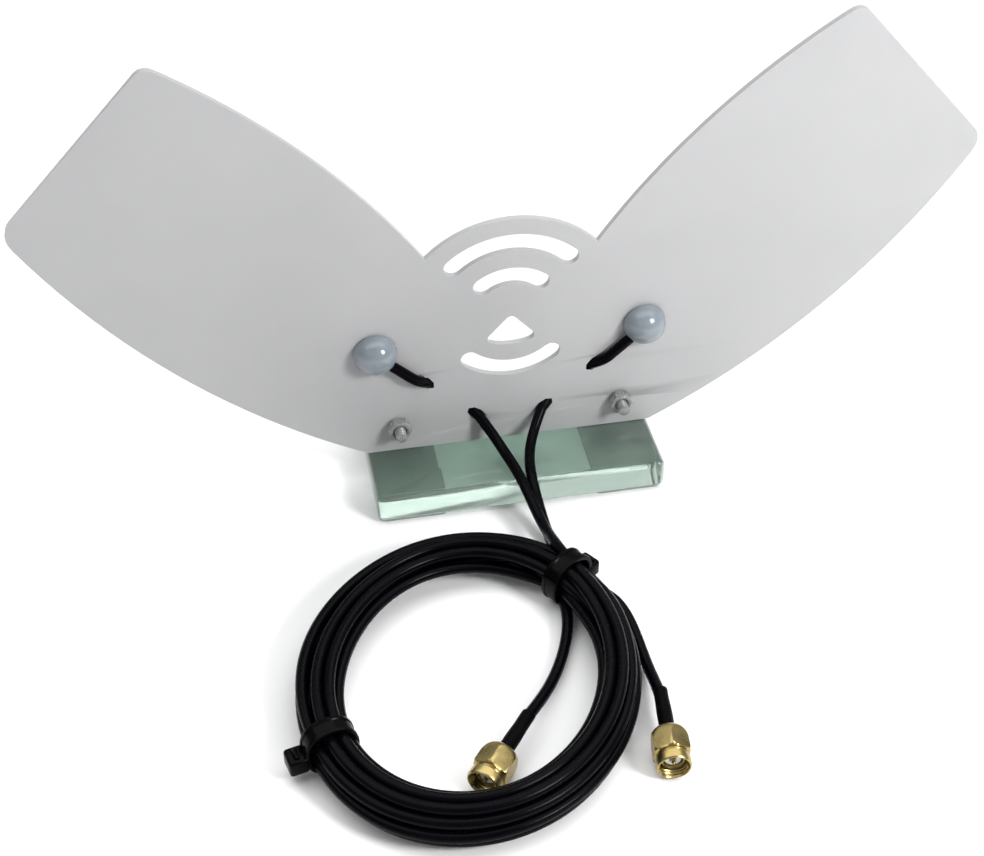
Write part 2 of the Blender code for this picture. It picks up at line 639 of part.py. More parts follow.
def make_plug(side):
    place = plug_place(side)
    neck_end = NUT_BACK_WALL + 1.1 * MM
    flange_end = neck_end + 0.9 * MM
    floor = flange_end + 0.6 * MM
    mouth = NUT_LENGTH - 1.8 * MM
    flange_radius = NUT_THREAD_RADIUS - GAP - 0.05 * MM
    body = [(0, floor), (SHELL_BORE, floor), (SHELL_BORE, mouth), (SHELL_RADIUS, mouth),
            (SHELL_RADIUS, flange_end), (flange_radius, flange_end), (flange_radius, neck_end),
            (NECK_RADIUS, neck_end), (NECK_RADIUS, -GAP), (0, -GAP)]
    smooth(turned(f"{side}_plug_body", body, "gold", place))
    disc_back = floor + GAP
    disc_front = mouth - 0.5 * MM
    bore = PIN_RADIUS + GAP
    disc = [(INSULATOR_RADIUS, disc_front), (INSULATOR_RADIUS, disc_back), (bore, disc_back),
            (bore, disc_front)]
    smooth(turned(f"{side}_insulator", disc, "insulator", place))
    tip = NUT_LENGTH - 0.9 * MM
    pin = [(0, tip), (PIN_RADIUS * 0.5, tip - 0.1 * MM), (PIN_RADIUS, tip - 0.6 * MM),
           (PIN_RADIUS, disc_back), (0, disc_back)]
    smooth(turned(f"{side}_centre_pin", pin, "gold", place, 16))
    ring_back = NUT_BACK_WALL + GAP
    ring = [(NUT_THREAD_RADIUS - GAP, ring_back + 0.5 * MM), (NUT_THREAD_RADIUS - GAP, ring_back),
            (NECK_RADIUS + GAP, ring_back), (NECK_RADIUS + GAP, ring_back + 0.5 * MM)]
    turned(f"{side}_lock_ring", ring, "spring", place)
    make_coupling_nut(side, place)


def make_coupling_nut(side, place):
    """Hexagon nut: a turned envelope with the bore, cut down to six flats behind its round lip."""
    corner = NUT_HEX_FLATS / sqrt(3)
    dome = []
    for i in range(6):
        turn = pi / 2 * i / 5
        radius = NUT_DOME_RADIUS + (corner - NUT_DOME_RADIUS) * cos(turn)
        dome.append((radius, NUT_DOME_LENGTH * (1 - sin(turn))))
    envelope = [(NUT_LIP_RADIUS - 0.25 * MM, NUT_LENGTH), (NUT_LIP_RADIUS, NUT_LENGTH - 0.4 * MM),
                (NUT_LIP_RADIUS, NUT_LIP_START), (NUT_GROOVE_RADIUS, NUT_LIP_START),
                (NUT_GROOVE_RADIUS, NUT_HEX_LENGTH), (corner, NUT_HEX_LENGTH - 0.5 * MM), *dome,
                (NUT_BACK_RADIUS, 0), (NUT_BACK_RADIUS, NUT_BACK_WALL), (NUT_THREAD_RADIUS, NUT_BACK_WALL),
                (NUT_THREAD_RADIUS, NUT_LENGTH - 0.3 * MM), (NUT_THREAD_RADIUS + 0.15 * MM, NUT_LENGTH)]
    nut = turned(f"{side}_coupling_nut", envelope, "gold", place)
    mesh = bpy.data.meshes.new(f"hexagon_{side}")
    bm = bmesh.new()
    bmesh.ops.create_cone(bm, cap_ends=True, segments=6, radius1=corner, radius2=corner, depth=4 * NUT_LENGTH)
    bm.to_mesh(mesh)
    bm.free()
    prism = make_cutter(add_object(f"hexagon_{side}", mesh, None, place))
    boolean(nut, prism, "INTERSECT")
    smooth(nut)


def build():
    make_base()
    make_plate()
    make_foils()
    make_brackets()
    make_fasteners()
    make_held_cables()
    make_coil()
    make_ties()
    make_free_cables()
    for side, _ in SIDES:
        make_plug(side)


clear_scene()
PARTS = new_collection("twin_ear_antenna")
CUTTERS = new_collection("cutters")
build()
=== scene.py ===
"""Looks of the flat twin-ear antenna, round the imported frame.

Lengths are in millimetres until they are drawn."""
from math import atan2, cos, hypot, pi, radians, sin, sqrt

import bmesh
import bpy
import numpy as np
from mathutils import Matrix, Vector


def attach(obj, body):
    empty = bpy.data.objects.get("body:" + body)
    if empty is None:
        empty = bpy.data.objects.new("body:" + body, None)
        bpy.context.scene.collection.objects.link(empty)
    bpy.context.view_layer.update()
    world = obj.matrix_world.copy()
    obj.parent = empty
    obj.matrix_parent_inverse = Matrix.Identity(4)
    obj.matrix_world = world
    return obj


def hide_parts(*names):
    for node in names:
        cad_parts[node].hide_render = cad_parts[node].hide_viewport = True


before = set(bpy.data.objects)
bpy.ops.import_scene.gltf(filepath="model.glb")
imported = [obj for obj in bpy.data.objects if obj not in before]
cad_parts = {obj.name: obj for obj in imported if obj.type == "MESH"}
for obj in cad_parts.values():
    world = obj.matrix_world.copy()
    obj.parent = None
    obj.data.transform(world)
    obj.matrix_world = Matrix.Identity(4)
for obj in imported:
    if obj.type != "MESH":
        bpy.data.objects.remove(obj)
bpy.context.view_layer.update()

MM = 0.001
ROOT = "antenna"
SIDES = (("left", -1), ("right", 1))
FACING_FRONT = Matrix.Rotation(pi / 2, 4, "X")      # local X right, local Y up, local Z forward


# ---------------------------------------------------------------- camera

CAMERA_PLACE = (-69.74, -329.08, 292.49)
CAMERA_TURN = radians(11.181)
CAMERA_DOWN = radians(39.904)
CAMERA_ROLL = radians(0.157)


def make_camera():
    data = bpy.data.cameras.new("camera")
    data.sensor_width = 36
    data.lens = 60.29
    data.clip_start = 0.01
    camera = bpy.data.objects.new("camera", data)
    bpy.context.scene.collection.objects.link(camera)
    turn = (Matrix.Rotation(-CAMERA_TURN, 4, "Z") @ Matrix.Rotation(pi / 2 - CAMERA_DOWN, 4, "X")
            @ Matrix.Rotation(CAMERA_ROLL, 4, "Z"))
    camera.matrix_world = Matrix.Translation(Vector(CAMERA_PLACE) * MM) @ turn
    bpy.context.scene.camera = camera


# ---------------------------------------------------------------- materials

LOOK = "_look"                      # ends the names of these materials, as the frame has its own


class Nodes:
    """A principled material, with short calls for the nodes that feed it."""

    def __init__(self, name, **values):
        self.material = bpy.data.materials.new(name + LOOK)
        self.material.use_nodes = True
        self.tree = self.material.node_tree
        self.shader = self.tree.nodes["Principled BSDF"]
        for key, value in values.items():
            self.shader.inputs[key.replace("_", " ")].default_value = value
        self.place = self.add("ShaderNodeTexCoord").outputs["Object"]

    def add(self, kind, inputs=None, **settings):
        node = self.tree.nodes.new(kind)
        for key, value in settings.items():
            setattr(node, key, value)
        for key, value in (inputs or {}).items():
            if isinstance(value, bpy.types.NodeSocket):
                self.tree.links.new(value, node.inputs[key])
            else:
                node.inputs[key].default_value = value
        return node

    def noise(self, scale, detail=3.0, roughness=0.55, stretch=(1, 1, 1)):
        """Noise with that many cells per metre; stretch multiplies the cells along each axis."""
        place = self.place
        if stretch != (1, 1, 1):
            place = self.add("ShaderNodeMapping", {"Vector": place, "Scale": stretch}).outputs["Vector"]
        inputs = {"Vector": place, "Scale": scale, "Detail": detail, "Roughness": roughness}
        return self.add("ShaderNodeTexNoise", inputs).outputs["Fac"]

    def ramp(self, source, low, high, start=0.0, end=1.0):
        """source from start to end, carried over to the span from low to high."""
        inputs = {"Value": source, "From Min": start, "From Max": end, "To Min": low, "To Max": high}
        return self.add("ShaderNodeMapRange", inputs).outputs["Result"]

    def blend(self, factor, first, second):
        node = self.add("ShaderNodeMix", data_type="RGBA")
        for index, value in ((0, factor), (6, first), (7, second)):
            if isinstance(value, bpy.types.NodeSocket):
                self.tree.links.new(value, node.inputs[index])
            else:
                node.inputs[index].default_value = value
        return node.outputs[2]

    def bump(self, height, strength, distance):
        inputs = {"Height": height, "Strength": strength, "Distance": distance}
        if self.shader.inputs["Normal"].is_linked:
            inputs["Normal"] = self.shader.inputs["Normal"].links[0].from_socket
        node = self.add("ShaderNodeBump", inputs)
        self.feed("Normal", node.outputs["Normal"])

    def feed(self, name, source):
        self.tree.links.new(source, self.shader.inputs[name])


def grey(value, tint=(1, 1, 1)):
    return (value * tint[0], value * tint[1], value * tint[2], 1)


def worn(name, dark, light, rough, patch, grain, bump, **values):
    """Colour and roughness that vary slowly over patches, and a fine grain in the bump."""
    nodes = Nodes(name, **values)
    slow = nodes.ramp(nodes.noise(patch, 4), 0, 1, 0.3, 0.7)
    nodes.feed("Base Color", nodes.blend(slow, dark, light))
    fine = nodes.noise(grain, 3)
    mixed = nodes.add("ShaderNodeMath", {0: fine, 1: slow}, operation="MULTIPLY").outputs[0]
    nodes.feed("Roughness", nodes.ramp(mixed, rough[0], rough[1], 0.1, 0.6))
    nodes.bump(fine, bump[0], bump[1])
    return nodes


def make_materials():
    board = worn("white_board", (0.405, 0.405, 0.41, 1), (0.43, 0.43, 0.435, 1), (0.30, 0.42), 25, 2600,
                 (0.10, 0.00005), Specular_IOR_Level=0.45)
    board.bump(board.noise(120, 2), 0.08, 0.0004)

    foil = worn("foil", (0.62, 0.60, 0.56, 1), (0.80, 0.78, 0.74, 1), (0.22, 0.40), 60, 1800,
                (0.2, 0.0001), Metallic=1.0)
    foil.bump(foil.noise(140, 4, 0.6, (1, 1, 2)), 0.35, 0.0006)

    glass = Nodes("green_glass", Roughness=0.06, IOR=1.40, Transmission_Weight=0.90)
    tint = glass.ramp(glass.noise(18, 2), 0, 1, 0.3, 0.7)
    glass.feed("Base Color", glass.blend(tint, (0.52, 0.65, 0.58, 1), (0.57, 0.69, 0.62, 1)))
    glass.bump(glass.noise(35, 2), 0.02, 0.0005)

    # grey pads under the glass ends: partly real feet, partly painted shade for the brackets' shadow seen
    # through the glass
    worn("grey_pad", (0.22, 0.26, 0.235, 1), (0.28, 0.32, 0.295, 1), (0.6, 0.8), 90, 3000, (0.5, 0.0003))
    worn("bracket_plastic", grey(0.10), grey(0.15), (0.38, 0.55), 60, 3500, (0.25, 0.0001))

    nylon = worn("clear_nylon", (0.36, 0.365, 0.355, 1), (0.46, 0.465, 0.45, 1), (0.22, 0.34), 200, 2500,
                 (0.05, 0.00005), Transmission_Weight=0.45, IOR=1.53, Subsurface_Weight=0.25)
    nylon.shader.inputs["Subsurface Radius"].default_value = (0.002, 0.002, 0.0018)

    cap = worn("cap_plastic", (0.195, 0.228, 0.256, 1), (0.22, 0.253, 0.28, 1), (0.16, 0.26), 120, 2800,
               (0.06, 0.00005), Specular_IOR_Level=0.55)
    cap.shader.inputs["Coat Weight"].default_value = 0.3
    cap.shader.inputs["Coat Roughness"].default_value = 0.12

    solder = worn("solder", grey(0.45), grey(0.66), (0.18, 0.45), 900, 4000, (0.4, 0.0002), Metallic=1.0)
    solder.bump(solder.noise(700, 3), 0.5, 0.0004)

    jacket = worn("cable_jacket", (0.0006, 0.0006, 0.0012, 1), (0.0016, 0.0016, 0.003, 1), (0.22, 0.34),
                  55, 1500, (0.08, 0.0001), Specular_IOR_Level=0.05)
    jacket.bump(jacket.noise(260, 2), 0.10, 0.0003)

    tie = worn("tie_plastic", grey(0.0006), grey(0.0018), (0.20, 0.34), 160, 2600, (0.15, 0.0001),
               Specular_IOR_Level=0.05)
    tie.bump(tie.noise(500, 2), 0.1, 0.0002)

    sleeve = worn("shrink_sleeve", grey(0.001), grey(0.002), (0.40, 0.55), 240, 3200, (0.25, 0.0001),
                  Specular_IOR_Level=0.03)
    sleeve.bump(sleeve.noise(420, 3), 0.25, 0.0004)

    gold = worn("gold_plate", (0.34, 0.26, 0.10, 1), (0.44, 0.345, 0.145, 1), (0.26, 0.40), 260, 5000,
                (0.12, 0.00006), Metallic=1.0)
    gold.bump(gold.noise(900, 2, 0.5, (1, 1, 0.15)), 0.08, 0.0001)

    worn("insulator", (0.78, 0.77, 0.72, 1), (0.88, 0.87, 0.83, 1), (0.32, 0.45), 300, 3500, (0.1, 0.0001))
    worn("spring_metal", (0.30, 0.27, 0.20, 1), (0.46, 0.42, 0.33, 1), (0.25, 0.42), 400, 4000,
         (0.2, 0.0001), Metallic=1.0)


# ---------------------------------------------------------------- building pieces

BEVEL_ANGLE = radians(30)           # edges flatter than this stay as they are
WELD = 1e-6                         # metres
RINGS_PER_PITCH = 6
CORD_RESOLUTION = 3


def ready(obj, slot, nodes=(), body=ROOT, angle=32):
    """Give a finished piece its material and its body, and hide the CAD nodes that it stands for."""
    obj.data.materials.clear()
    obj.data.materials.append(bpy.data.materials[slot + LOOK])
    if obj.type == "MESH" and angle is not None:
        obj.data.shade_smooth()
        obj.data.set_sharp_from_angle(angle=radians(angle))
    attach(obj, body)
    if nodes:
        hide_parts(*nodes)
    return obj


def linked(name, data, matrix=None):
    obj = bpy.data.objects.new(name, data)
    bpy.context.scene.collection.objects.link(obj)
    if matrix is not None:
        obj.matrix_world = matrix
    return obj


def from_bmesh(name, bm, matrix=None):
    """An object in metres from a bmesh in millimetres, with the matrix in the mesh."""
    bmesh.ops.recalc_face_normals(bm, faces=bm.faces)
    mesh = bpy.data.meshes.new(name)
    bm.to_mesh(mesh)
    bm.free()
    mesh.transform((matrix or Matrix.Identity(4)) @ Matrix.Scale(MM, 4))
    return linked(name, mesh)


def place_at(point, turn=FACING_FRONT):
    """Matrix in metres of a place given in millimetres."""
    return Matrix.Translation(Vector(point) * MM) @ turn


def bake(obj):
    """Swap an object for the mesh that its modifiers or its curve make, placed where the object is."""
    bpy.context.view_layer.update()
    evaluated = obj.evaluated_get(bpy.context.evaluated_depsgraph_get())
    mesh = bpy.data.meshes.new_from_object(evaluated)
    mesh.transform(obj.matrix_world)
    name = obj.name
    bpy.data.objects.remove(obj, do_unlink=True)
    bm = bmesh.new()
    bm.from_mesh(mesh)
    bmesh.ops.remove_doubles(bm, verts=bm.verts, dist=WELD)
    bmesh.ops.recalc_face_normals(bm, faces=bm.faces)
    bm.to_mesh(mesh)
    bm.free()
    return linked(name, mesh)


def boolean(obj, other, operation="DIFFERENCE"):
    """Cut or join other into obj, and delete other."""
    modifier = obj.modifiers.new("Boolean", "BOOLEAN")
    modifier.operation = operation
    modifier.solver = "EXACT"
    modifier.object = other
    result = bake(obj)
    bpy.data.objects.remove(other, do_unlink=True)
    return result


def bevelled(obj, width, segments):
    modifier = obj.modifiers.new("Bevel", "BEVEL")
    modifier.width = width * MM
    modifier.segments = segments
    modifier.limit_method = "ANGLE"
    modifier.angle_limit = BEVEL_ANGLE
    modifier.harden_normals = False
    return bake(obj)


def box(name, size, centre, matrix=None):
    bm = bmesh.new()
    bmesh.ops.create_cube(bm, size=1)
    bmesh.ops.scale(bm, vec=size, verts=bm.verts)
    bmesh.ops.translate(bm, vec=centre, verts=bm.verts)
    return from_bmesh(name, bm, matrix)


def lathe(name, rings, matrix, steps=72):
    """A solid turned about local Z. A ring is (radius, height), or a function of the angle that gives both.
    The first and last rings are joined, unless both are on the axis."""
    bm = bmesh.new()
    rows = []
    for ring in rings:
        if not callable(ring) and ring[0] < 1e-6:
            rows.append([bm.verts.new((0, 0, ring[1]))])
            continue
        row = []
        for i in range(steps):
            angle = 2 * pi * i / steps
            radius, height = ring(angle) if callable(ring) else ring
            row.append(bm.verts.new((radius * cos(angle), radius * sin(angle), height)))
        rows.append(row)
    pairs = list(zip(rows, rows[1:]))
    if len(rows[0]) > 1 or len(rows[-1]) > 1:
        pairs.append((rows[-1], rows[0]))
    for low, high in pairs:
        for i in range(steps):
            j = (i + 1) % steps
            corners = [low[i % len(low)], low[j % len(low)], high[j % len(high)], high[i % len(high)]]
            corners = list(dict.fromkeys(corners))
            if len(corners) > 2:
                bm.faces.new(corners)
    return from_bmesh(name, bm, matrix)


def threaded(start, end, radius, depth, pitch):
    """Rings of a helical thread between two heights, as deep as depth, fading out at its ends."""
    count = max(2, round(abs(end - start) / pitch * RINGS_PER_PITCH))
    rings = []
    for i in range(count + 1):
        height = start + (end - start) * i / count
        fade = min(1, 1.6 * min(abs(height - start), abs(end - height)) / pitch)

        def ring(angle, height=height, fade=fade):
            turn = (height / pitch - angle / (2 * pi)) % 1
            return radius - depth * fade * (1 - abs(2 * turn - 1)), height
        rings.append(ring)
    return rings


def line_curve(name, points, radius):
    """A round cord along points in millimetres."""
    curve = bpy.data.curves.new(name, "CURVE")
    curve.dimensions = "3D"
    curve.bevel_depth = radius * MM
    curve.bevel_resolution = CORD_RESOLUTION
    curve.use_fill_caps = True
    spline = curve.splines.new("POLY")
    spline.points.add(len(points) - 1)
    for point, place in zip(spline.points, points):
        point.co = (*(Vector(place) * MM), 1)
    spline.use_smooth = True
    return linked(name, curve)


def smooth_route(points, spacing):
    """Catmull-Rom curve through points, sampled about every spacing."""
    knots = [Vector(point) for point in points]
    knots = [2 * knots[0] - knots[1], *knots, 2 * knots[-1] - knots[-2]]
    route = []
    for a, b, c, d in zip(knots, knots[1:], knots[2:], knots[3:]):
        steps = max(1, round((c - b).length / spacing))
        for i in range(steps):
            t = i / steps
            route.append(0.5 * (2 * b + (c - a) * t + (2 * a - 5 * b + 4 * c - d) * t ** 2
                                + (3 * b - a - 3 * c + d) * t ** 3))
    route.append(knots[-2])
    return route


def eased(points, rounds):
    """The same line with its kinks worked out; its ends stay."""
    line = np.array(points)
    for _ in range(rounds):
        line[1:-1] += 0.25 * (line[:-2] + line[2:] - 2 * line[1:-1])
    return [Vector(point) for point in line]


def smoothstep(value):
    value = min(1.0, max(0.0, value))
    return value * value * (3 - 2 * value)


# ---------------------------------------------------------------- cords

CABLE_RADIUS = 1.4
COIL_CENTRE = (-25.0, -78.9)
COIL_MINOR = 34.3                   # centreline half axes of the ring
COIL_MAJOR = 40.7
COIL_TURN = radians(68)
TIE_WALL = 1.1
TIES = {                            # angle, half width and half height inside, how far the head stands out
    "upper_tie": (radians(42.5), 5.6, 5.5, 2.8),
    "lower_tie": (radians(203), 5.2, 5.5, 3.8),
}
TURNS = 5
STATIONS = 72                       # points of each cable per turn
COIL_START = radians(49)            # where the leads join the ring
COIL_TAILS = {"right": 3, "left": 2}
PITCH = 2.95                        # strand to strand in a row, and row to row
ROW = 2.55
ROW_MIDDLE = 1.45                   # rows from the lowest strand to the middle of the bundle
SHIFT_START = 10                    # stations before a turn ends, where its strand starts to shift
SHIFT_LENGTH = 20
WISH_ROOM = (4.1, 3.9)              # half sizes that the strand places are given for
RELAX_ROUNDS = 600
ROUTE_SPACING = 1.6
EASE_ROUNDS = 14
LEAN = 0.12                         # how far the bundle leans inwards for each unit up
# each cable's place in the bundle, turn by turn, in pitches outwards and rows up; the last is where it leaves
STRANDS = {
    "right": ((1.2, 0), (-0.8, 1), (-0.2, 2), (0.8, 2), (1.2, 1), (1.8, 1.3)),
    "left": ((0.1, 3), (-0.9, 3), (0.2, 1), (-1.2, 2), (0.2, 0), (-1.2, 0)),
}
LEADS = {
    "right": ((8.33, -1.25, 17.6), (6.9, -2.9, 15.6), (5.0, -5.4, 13.2), (3.4, -9.3, 11.3),
              (2.4, -13.5, 10.8), (2.0, -18.0, 10.7), (2.0, -22.5, 8.6), (2.6, -26.6, 5.4),
              (3.2, -30.5, 2.7), (3.8, -35.0, 1.8), (4.0, -39.5, 1.9), (4.0, -44.0, 2.2)),
    "left": ((-8.33, -1.25, 17.6), (-6.6, -3.2, 15.6), (-4.5, -6.6, 13.0), (-2.9, -11.0, 11.2),
             (-1.6, -15.4, 10.9), (-1.0, -19.4, 11.0), (-0.4, -23.2, 10.4), (0.5, -26.8, 8.5),
             (1.5, -30.3, 6.5), (2.3, -34.3, 5.7), (2.6, -38.7, 7.2), (2.5, -43.0, 9.8), (2.7, -47.2, 11.6)),
}
TAILS = {
    "right": ((12.7, -59.4, 6.6), (14.9, -64.4, 5.3), (16.1, -69.7, 3.8), (16.4, -75.2, 2.7),
              (16.5, -80.7, 2.3), (16.7, -86.0, 3.1)),
    "left": ((2.2, -60.4, 2.9), (1.5, -64.2, 2.6), (0.2, -68.3, 2.3), (-1.6, -72.6, 2.1), (-3.6, -76.7, 2.1),
             (-6.1, -81.0, 2.2), (-9.2, -85.6, 2.8)),
}
PLUG_Z = 4.7
PLUGS = {
    "left": ((-21.9, -101.3), radians(-129)),
    "right": ((15.2, -102.7), radians(-97.5)),
}
SLEEVE_LENGTH = 11.8
CABLE_END = -0.9


def plug_place(side):
    """Frame of a plug, in metres: local +Z is the mating direction, local +Y is up."""
    (x, y), heading = PLUGS[side]
    forward = Vector((cos(heading), sin(heading), 0))
    up = Vector((0, 0, 1))
    axes = Matrix((up.cross(forward), up, forward)).transposed().to_4x4()
    return Matrix.Translation(Vector((x, y, PLUG_Z)) * MM) @ axes


def ring_place(angle):
    """Centreline point of the ring without its height, and the outward direction there."""
    turn = angle - COIL_TURN
    stretch = COIL_MAJOR / COIL_MINOR
    phase = atan2(sin(turn) * stretch, cos(turn))
    outward = Vector((COIL_MINOR * cos(phase), COIL_MAJOR * sin(phase), 0)).normalized()
    spin = Matrix.Rotation(COIL_TURN, 4, "Z")
    centre = spin @ Vector((COIL_MAJOR * cos(phase), COIL_MINOR * sin(phase), 0))
    return centre + Vector((*COIL_CENTRE, 0)), spin @ outward


def near_tie(angle, reach):
    """1 at a tie, falling to 0 at that angle from it, and the tie."""
    found = []
    for tie in TIES.values():
        gap = abs((angle - tie[0] + pi) % (2 * pi) - pi)
        found.append((smoothstep(1 - gap / reach), tie))
    return max(found)


def bundle_size(angle):
    """Half width and half height of the bundle, the height of its middle, and how far that lies outwards."""
    width = 6.0 - 0.9 * cos(angle + radians(15))
    height = 5.3 + 0.2 * cos(angle) - 0.2 * sin(angle)
    middle = 6.8
    outwards = -0.15 - 0.9 * sin(angle) - 0.3 * cos(angle)
    hold, (_, tie_width, tie_height, _) = near_tie(angle, radians(30))
    width += (tie_width - 0.1 - width) * hold
    height += (tie_height - 0.1 - height) * hold
    middle += (tie_height + 0.1 + TIE_WALL - middle) * hold
    return width, height, middle, outwards * (1 - 0.6 * hold)


def lay_strands():
    """Lay both cables round the ring side by side, without overlaps, and give each one's points."""
    random = np.random.default_rng(11)
    names = list(STRANDS)
    count = TURNS * STATIONS + max(COIL_TAILS.values()) + 1
    angles = COIL_START - 2 * pi * np.arange(count) / STATIONS
    sizes = np.array([bundle_size(angle) for angle in angles[:STATIONS]])
    sizes = sizes[np.arange(count) % STATIONS]
    room = sizes[:, :2] - CABLE_RADIUS
    floor = CABLE_RADIUS + 0.1 - sizes[:, 2]
    wish = np.zeros((2, count, 2))
    for c, name in enumerate(names):
        slots = np.array(STRANDS[name]) * (PITCH, ROW) - (0, ROW_MIDDLE * ROW)
        for i in range(count):
            turn, shift = divmod(i + SHIFT_START, STATIONS)
            before, after = slots[max(0, turn - 1)], slots[min(turn, TURNS)]
            wish[c, i] = before + (after - before) * smoothstep(shift / SHIFT_LENGTH)
        for axis, reach in ((0, 1.5), (1, 1.0)):
            for waves in (0.5, 1.3, 2.1):
                phase = random.random() * 2 * pi
                drift = random.normal() * reach / (1 + waves)
                wish[c, :, axis] += drift * np.sin(waves * angles + phase)
    wish *= (room / WISH_ROOM)[None]
    places = wish.copy()
    index = np.arange(2 * count).reshape(2, count)
    first, second = [], []
    for station in range(STATIONS):
        here = index[:, station::STATIONS].ravel()
        a, b = np.triu_indices(len(here), 1)
        first.append(here[a])
        second.append(here[b])
    first, second = np.concatenate(first), np.concatenate(second)
    for _ in range(RELAX_ROUNDS):
        places += 0.03 * (wish - places)
        for _ in range(2):
            middle = (places[:, :-2] + places[:, 2:]) / 2
            places[:, 1:-1] += 0.5 * (middle - places[:, 1:-1])
        flat = places.reshape(-1, 2)
        for _ in range(3):
            apart = flat[first] - flat[second]
            gap = np.linalg.norm(apart, axis=1) + 1e-6
            push = np.maximum(0, 2 * CABLE_RADIUS + 0.06 - gap)[:, None] * apart / gap[:, None] * 0.35
            np.add.at(flat, first, push)
            np.add.at(flat, second, -push)
        flat[:, 1] -= 0.002
        places = flat.reshape(2, count, 2)
        places[:, :, 0] += LEAN * places[:, :, 1]
        over = np.linalg.norm(places / room[None], axis=2)
        places /= np.maximum(1, over)[:, :, None] ** 0.5
        places[:, :, 0] -= LEAN * places[:, :, 1]
        places[:, :, 1] = np.maximum(places[:, :, 1], floor[None])
    routes = {}
    for c, name in enumerate(names):
        points = []
        for i in range(TURNS * STATIONS + COIL_TAILS[name] + 1):
            centre, outward = ring_place(angles[i])
            across, up = places[c, i] + (sizes[i, 3], sizes[i, 2])
            points.append(centre + outward * float(across) + Vector((0, 0, float(up))))
        routes[name] = points
    return routes


def make_cords(pieces_on):
    routes = lay_strands()
    for side, _ in SIDES:
        lead = smooth_route(LEADS[side] + tuple(routes[side][1:6:2]), ROUTE_SPACING)
        turns = smooth_route(routes[side][5:-2:3] + routes[side][-1:], ROUTE_SPACING)
        place = plug_place(side)
        straight = [tuple(place @ Vector((0, 0, t * MM)) / MM)
                    for t in (-SLEEVE_LENGTH, -SLEEVE_LENGTH / 2, CABLE_END)]
        tail = smooth_route([routes[side][-3], routes[side][-1], *TAILS[side], *straight], ROUTE_SPACING)
        skip = next(i for i, point in enumerate(tail) if (point - routes[side][-1]).length < 1e-3)
        points = eased(lead[:-1] + turns[:-1] + tail[skip:], EASE_ROUNDS)
        cord = line_curve(f"{side}_cord", points, CABLE_RADIUS)
        nodes = [f"{side}_lead", f"{side}_tail"] + (["cable_coil"] if side == "right" else [])
        ready(cord, "cable_jacket", nodes)


# ---------------------------------------------------------------- glass foot

BASE_SIZE = (76, 38, 8)
BASE_FLOOR = 1.0                    # underside of the glass
GLASS_TOP = BASE_FLOOR + BASE_SIZE[2]
# the pads run nearly the slab's full depth, so their grey is partly painted shade of the brackets as well as
# feet
PAD_SIZE = (18.2, 36, 0.7)
PAD_X = 28.6


def rounded_box(name, size, corner, profile, matrix):
    """A slab with round vertical corners; profile gives (inset, height) from its underside up."""
    bm = bmesh.new()
    rows = []
    for inset, height in profile:
        row = []
        for quarter in range(4):
            sx, sy = (1, 1, -1, -1)[quarter], (-1, 1, 1, -1)[quarter]
            for i in range(7):
                angle = pi / 2 * (quarter - 1 + i / 6)
                x = sx * (size[0] / 2 - corner) + (corner - min(inset, corner * 0.9)) * cos(angle)
                y = sy * (size[1] / 2 - corner) + (corner - min(inset, corner * 0.9)) * sin(angle)
                row.append(bm.verts.new((x, y, height)))
        rows.append(row)
    count = len(rows[0])
    for low, high in zip(rows, rows[1:]):
        for i in range(count):
            j = (i + 1) % count
            bm.faces.new((low[i], low[j], high[j], high[i]))
    bm.faces.new(rows[0])
    bm.faces.new(rows[-1])
    return from_bmesh(name, bm, matrix)


def make_base():
    height = BASE_SIZE[2]
    profile = [(0.9, 0), (0.3, 0.35), (0.05, 0.75), (0, 1.0), (0, height - 1.5), (0.1, height - 1.2),
               (1.05, height - 0.12), (1.35, height)]
    slab = rounded_box("glass_slab", BASE_SIZE, 1.8, profile, place_at((0, 0, BASE_FLOOR), Matrix()))
    ready(slab, "green_glass", ["glass_base"], angle=28)
    for side, sign in SIDES:
        # pads: feet under the ends, widened into painted shade where the brackets shadow the glass
        profile = [(0.12, 0), (0, 0.12), (0, PAD_SIZE[2] - 0.12), (0.12, PAD_SIZE[2])]
        pad = rounded_box(f"{side}_pad", PAD_SIZE, 2, profile, place_at((sign * PAD_X, 0, 0), Matrix()))
        ready(pad, "grey_pad", [f"{side}_base_pad"])


# ---------------------------------------------------------------- plate and what is fixed to it

GAP = 0.3                           # clearance between pieces that touch
PLATE_HALF = 0.8
BRACKET_WALL = 1.8
SCREW_HEAD_HEIGHT = 2.1
SCREW_TIP = 6.6
SHANK_RADIUS = 1.45
SCREW_PITCH = 0.5
NUT_THICKNESS = 2.6
SCREW_X = 29.6
SCREW_FLATS = 5.5
SCREW_Z = GLASS_TOP + 8.5
CAP_RADIUS = 5.6
CAP_X = 34.8
CAP_Z = GLASS_TOP + 33
HELD_TOWARDS = (-24.3, -22.4)
HELD_START = 2.4
HELD_END = 36.3
HELD_OFFSET = CABLE_RADIUS + GAP + PLATE_HALF
HELD_DIVE = 12                      # distances along the line where it goes behind, and comes back
HELD_RISE = 28
HELD_CROSSING = 12


def held_point(sign, along):
    """A point on the held cable's centreline, at a distance along its line across the plate."""
    length = hypot(*HELD_TOWARDS)
    x = CAP_X + HELD_TOWARDS[0] / length * along
    z = CAP_Z + HELD_TOWARDS[1] / length * along
    depth = 1.0
    if along > HELD_DIVE:
        depth = cos(pi * min(1.0, (along - HELD_DIVE) / HELD_CROSSING))
    if along > HELD_RISE:
        depth = -cos(pi * min(1.0, (along - HELD_RISE) / HELD_CROSSING))
    return (sign * x, -HELD_OFFSET * depth, z)


